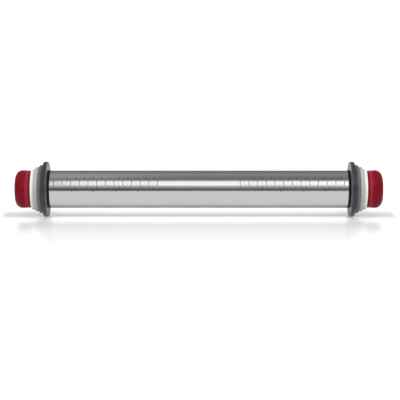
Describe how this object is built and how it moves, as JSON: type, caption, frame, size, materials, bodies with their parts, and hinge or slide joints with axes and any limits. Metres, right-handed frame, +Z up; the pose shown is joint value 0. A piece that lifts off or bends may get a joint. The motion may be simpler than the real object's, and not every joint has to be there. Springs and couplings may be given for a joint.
{
  "type": "adjustable rolling pin",
  "caption": "Hollow steel rolling pin with stepped thickness rings clamped on its ends by screwed knobs.",
  "frame": {"origin": "middle of the pin's axis, half way along the roller tube", "axes": "+X along the pin to its right end, -Y to the front, where the scale is, +Z up"},
  "size_m": [0.4264, 0.0638, 0.0638],
  "materials": {
    "roller_steel": "fine satin",
    "black_plastic": "matte moulded",
    "black_rubber": "matte",
    "brass": "turned",
    "charcoal_plastic": "satin moulded",
    "mid_grey_plastic": "satin moulded",
    "light_grey_plastic": "satin moulded",
    "white_plastic": "satin moulded",
    "red_plastic": "soft gloss",
    "grey_nylon": "matte moulded",
    "stud_steel": "machined"
  },
  "bodies": {
    "roller": {"roller_tube": "roller_steel", "end_plug_left": "black_plastic", "plug_seal_left": "black_rubber", "thread_insert_left": "brass", "end_plug_right": "black_plastic", "plug_seal_right": "black_rubber", "thread_insert_right": "brass"},
    "ring_10mm_left": {"thickness_ring_10mm_left": "charcoal_plastic"},
    "ring_6mm_left": {"thickness_ring_6mm_left": "mid_grey_plastic"},
    "ring_4mm_left": {"thickness_ring_4mm_left": "light_grey_plastic"},
    "ring_2mm_left": {"thickness_ring_2mm_left": "white_plastic"},
    "knob_left": {"knob_shell_left": "red_plastic", "knob_core_left": "grey_nylon", "knob_stud_left": "stud_steel"},
    "ring_10mm_right": {"thickness_ring_10mm_right": "charcoal_plastic"},
    "ring_6mm_right": {"thickness_ring_6mm_right": "mid_grey_plastic"},
    "ring_4mm_right": {"thickness_ring_4mm_right": "light_grey_plastic"},
    "ring_2mm_right": {"thickness_ring_2mm_right": "white_plastic"},
    "knob_right": {"knob_shell_right": "red_plastic", "knob_core_right": "grey_nylon", "knob_stud_right": "stud_steel"}
  },
  "joints": [
    {"name": "ring_2mm_left_slide", "type": "slide", "parent": "roller", "child": "ring_2mm_left", "axis": [-1, 0, 0], "range_m": [0, 0.015]},
    {"name": "ring_4mm_left_slide", "type": "slide", "parent": "roller", "child": "ring_4mm_left", "axis": [-1, 0, 0], "range_m": [0, 0.01125]},
    {"name": "ring_6mm_left_slide", "type": "slide", "parent": "roller", "child": "ring_6mm_left", "axis": [-1, 0, 0], "range_m": [0, 0.0075]},
    {"name": "ring_10mm_left_slide", "type": "slide", "parent": "roller", "child": "ring_10mm_left", "axis": [-1, 0, 0], "range_m": [0, 0.00375]},
    {"name": "knob_left_turn", "type": "hinge", "parent": "ring_2mm_left", "child": "knob_left", "pos_m": [-0.1946, 0, 0], "axis": [-1, 0, 0], "range_deg": [0, 1080]},
    {"name": "ring_2mm_right_slide", "type": "slide", "parent": "roller", "child": "ring_2mm_right", "axis": [1, 0, 0], "range_m": [0, 0.015]},
    {"name": "ring_4mm_right_slide", "type": "slide", "parent": "roller", "child": "ring_4mm_right", "axis": [1, 0, 0], "range_m": [0, 0.01125]},
    {"name": "ring_6mm_right_slide", "type": "slide", "parent": "roller", "child": "ring_6mm_right", "axis": [1, 0, 0], "range_m": [0, 0.0075]},
    {"name": "ring_10mm_right_slide", "type": "slide", "parent": "roller", "child": "ring_10mm_right", "axis": [1, 0, 0], "range_m": [0, 0.00375]},
    {"name": "knob_right_turn", "type": "hinge", "parent": "ring_2mm_right", "child": "knob_right", "pos_m": [0.1946, 0, 0], "axis": [1, 0, 0], "range_deg": [0, 1080]}
  ],
  "couplings": [
    {"joint": "ring_2mm_left_slide", "follows": "knob_left_turn", "m_per_rad": 0.00079577},
    {"joint": "ring_4mm_left_slide", "follows": "knob_left_turn", "m_per_rad": 0.00059683},
    {"joint": "ring_6mm_left_slide", "follows": "knob_left_turn", "m_per_rad": 0.00039789},
    {"joint": "ring_10mm_left_slide", "follows": "knob_left_turn", "m_per_rad": 0.00019894},
    {"joint": "ring_2mm_right_slide", "follows": "knob_right_turn", "m_per_rad": 0.00079577},
    {"joint": "ring_4mm_right_slide", "follows": "knob_right_turn", "m_per_rad": 0.00059683},
    {"joint": "ring_6mm_right_slide", "follows": "knob_right_turn", "m_per_rad": 0.00039789},
    {"joint": "ring_10mm_right_slide", "follows": "knob_right_turn", "m_per_rad": 0.00019894}
  ]
}
